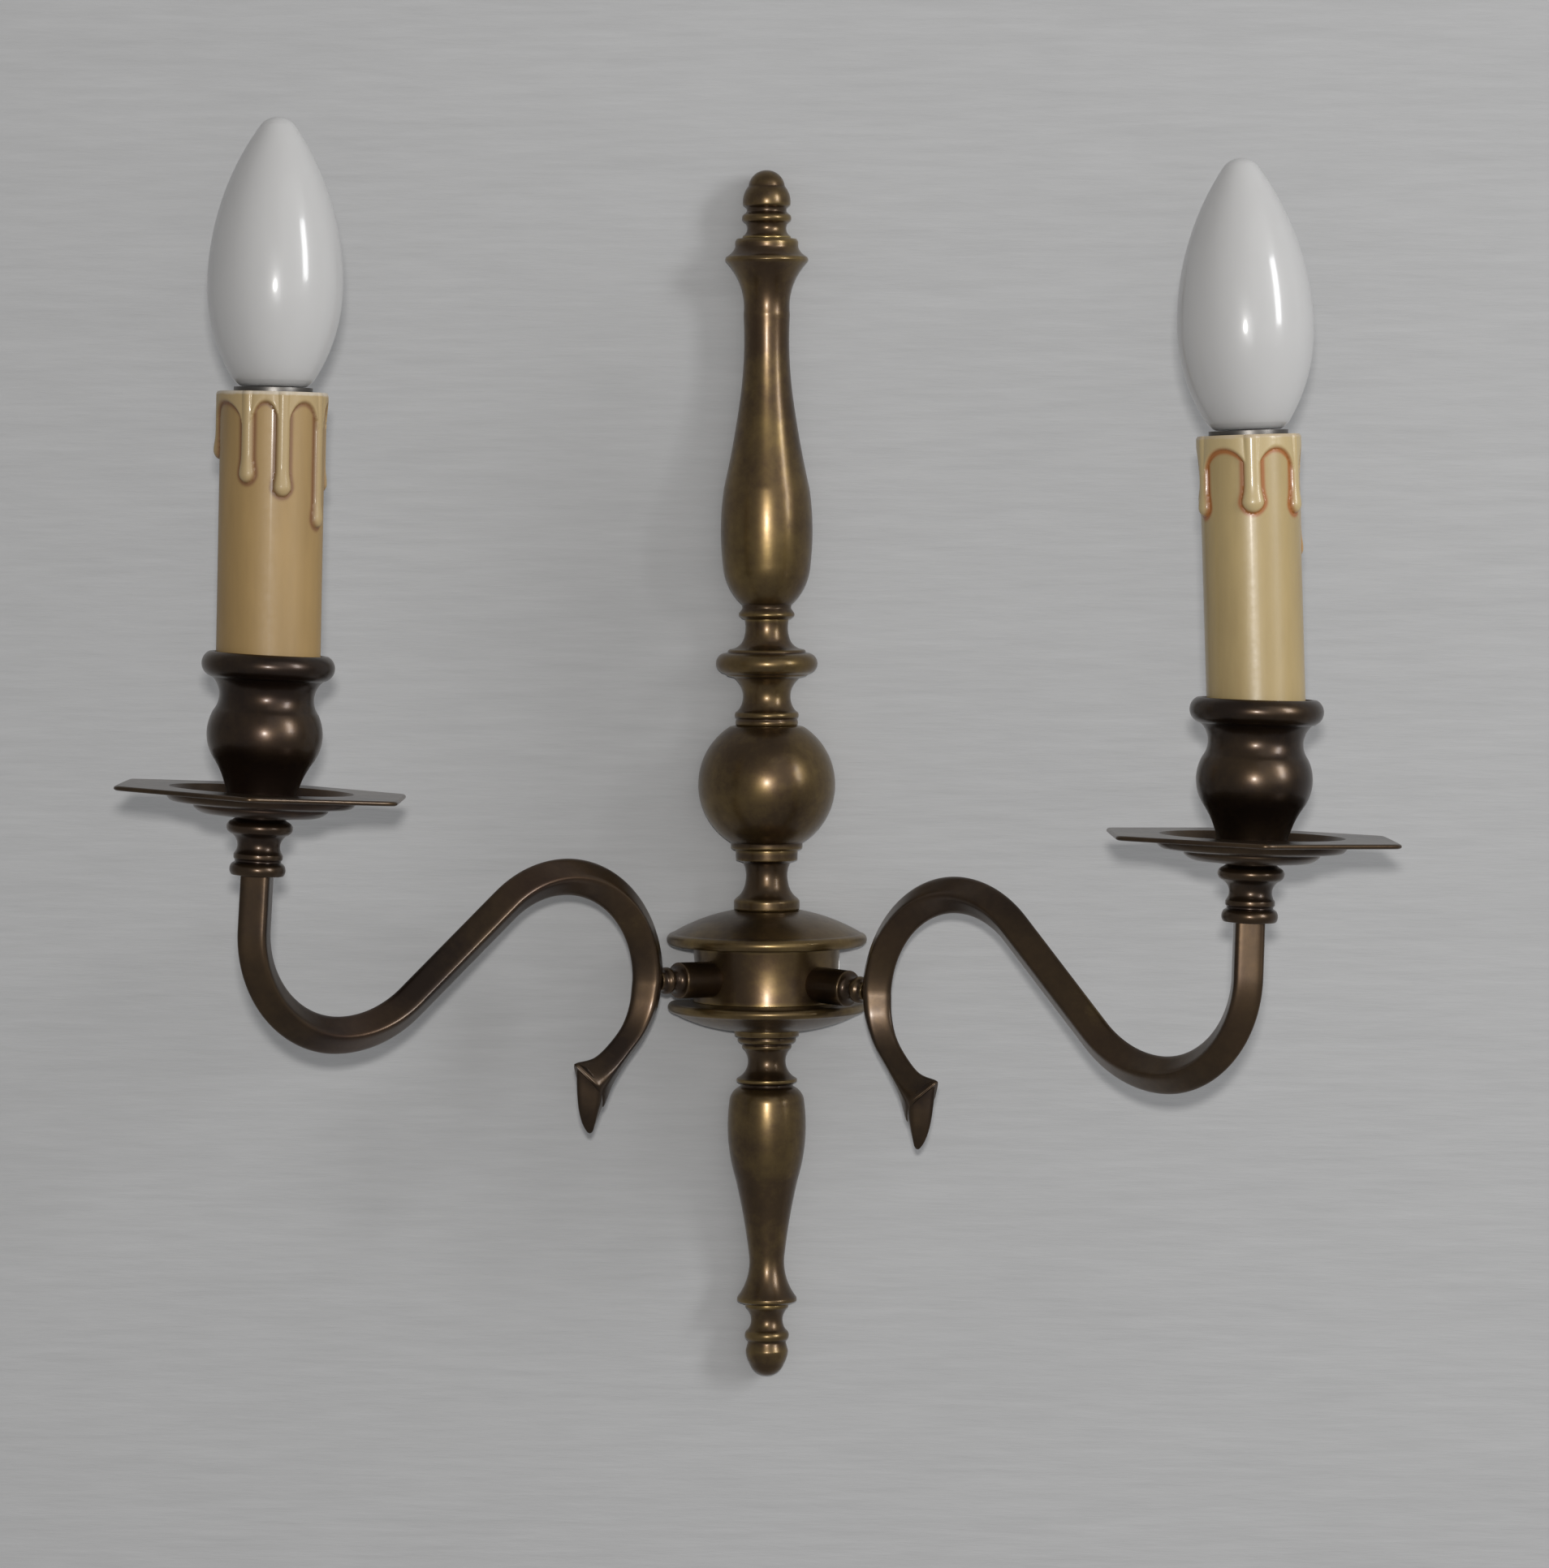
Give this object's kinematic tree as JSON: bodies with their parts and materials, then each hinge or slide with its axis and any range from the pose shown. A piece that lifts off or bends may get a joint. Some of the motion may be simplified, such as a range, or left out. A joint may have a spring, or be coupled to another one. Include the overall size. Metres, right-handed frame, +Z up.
{
  "type": "double arm wall sconce",
  "caption": "Wall light in bronzed brass: a turned, flat-backed column, two curled arms, drip pans, candle sleeves with drips and opal candle bulbs.",
  "frame": {"origin": "middle of the wall plate's back face, level with the arm pegs, on the wall plane", "axes": "+Y into the wall, -Y towards the viewer, +X to the viewer's right, +Z up along the column"},
  "size_m": [0.3288, 0.1584, 0.3428],
  "materials": {
    "bronzed_brass": "antique bronzed brass, satin polish",
    "dark_bronze": "dark antique bronze, satin polish",
    "steel": "zinc plated",
    "sleeve_left": "antiqued cream, dull",
    "sleeve_right": "antiqued cream, glossy",
    "opal_glass": "opal white, glossy",
    "bulb_cap": "plain",
    "insulator": "black",
    "holder": "heat resistant, off white",
    "contact": "plain",
    "cable": "round, two cores"
  },
  "bodies": {
    "fixture": {"top_finial": "bronzed_brass", "upper_baluster": "bronzed_brass", "ring_knop": "bronzed_brass", "ball_knop": "bronzed_brass", "upper_neck": "bronzed_brass", "hub_top_plate": "bronzed_brass", "hub_drum": "bronzed_brass", "hub_bottom_plate": "bronzed_brass", "lower_baluster": "bronzed_brass", "bottom_finial": "bronzed_brass", "tie_rod": "steel", "wall_plate": "steel", "set_screws": "steel", "terminal_block": "holder", "left_arm_peg": "bronzed_brass", "left_peg_nut": "steel", "left_arm_bar": "bronzed_brass", "left_arm_wire": "cable", "left_arm_collar": "dark_bronze", "left_arm_nipple": "steel", "left_drip_pan": "bronzed_brass", "left_candle_cup": "dark_bronze", "left_cup_nut": "steel", "left_lampholder": "holder", "left_lamp_shell": "steel", "left_lamp_contact": "contact", "right_arm_peg": "bronzed_brass", "right_peg_nut": "steel", "right_arm_bar": "bronzed_brass", "right_arm_wire": "cable", "right_arm_collar": "dark_bronze", "right_arm_nipple": "steel", "right_drip_pan": "bronzed_brass", "right_candle_cup": "dark_bronze", "right_cup_nut": "steel", "right_lampholder": "holder", "right_lamp_shell": "steel", "right_lamp_contact": "contact"},
    "left_sleeve": {"left_candle_sleeve": "sleeve_left"},
    "left_bulb_lift": {"left_bulb_foot": "insulator"},
    "left_bulb": {"left_bulb_cap": "bulb_cap", "left_bulb_glass": "opal_glass"},
    "right_sleeve": {"right_candle_sleeve": "sleeve_right"},
    "right_bulb_lift": {"right_bulb_foot": "insulator"},
    "right_bulb": {"right_bulb_cap": "bulb_cap", "right_bulb_glass": "opal_glass"}
  },
  "joints": [
    {"name": "left_sleeve_turn", "type": "hinge", "parent": "fixture", "child": "left_sleeve", "pos_m": [-0.12398, -0.11603, 0.08847], "axis": [0.0219, 0.0114, 0.9997], "continuous": true},
    {"name": "left_bulb_rise", "type": "slide", "parent": "fixture", "child": "left_bulb_lift", "axis": [0.0219, 0.0114, 0.9997], "range_m": [0, 0.0113]},
    {"name": "left_bulb_unscrew", "type": "hinge", "parent": "left_bulb_lift", "child": "left_bulb", "pos_m": [-0.12398, -0.11603, 0.08847], "axis": [0.0219, 0.0114, 0.9997], "range_deg": [0, 1440]},
    {"name": "right_sleeve_turn", "type": "hinge", "parent": "fixture", "child": "right_sleeve", "pos_m": [0.13122, -0.11603, 0.07733], "axis": [-0.0324, 0.0114, 0.9994], "continuous": true},
    {"name": "right_bulb_rise", "type": "slide", "parent": "fixture", "child": "right_bulb_lift", "axis": [-0.0324, 0.0114, 0.9994], "range_m": [0, 0.0113]},
    {"name": "right_bulb_unscrew", "type": "hinge", "parent": "right_bulb_lift", "child": "right_bulb", "pos_m": [0.13122, -0.11603, 0.07733], "axis": [-0.0324, 0.0114, 0.9994], "range_deg": [0, 1440]}
  ],
  "couplings": [
    {"joint": "left_bulb_rise", "follows": "left_bulb_unscrew", "m_per_rad": 0.00044882},
    {"joint": "right_bulb_rise", "follows": "right_bulb_unscrew", "m_per_rad": 0.00044882}
  ]
}
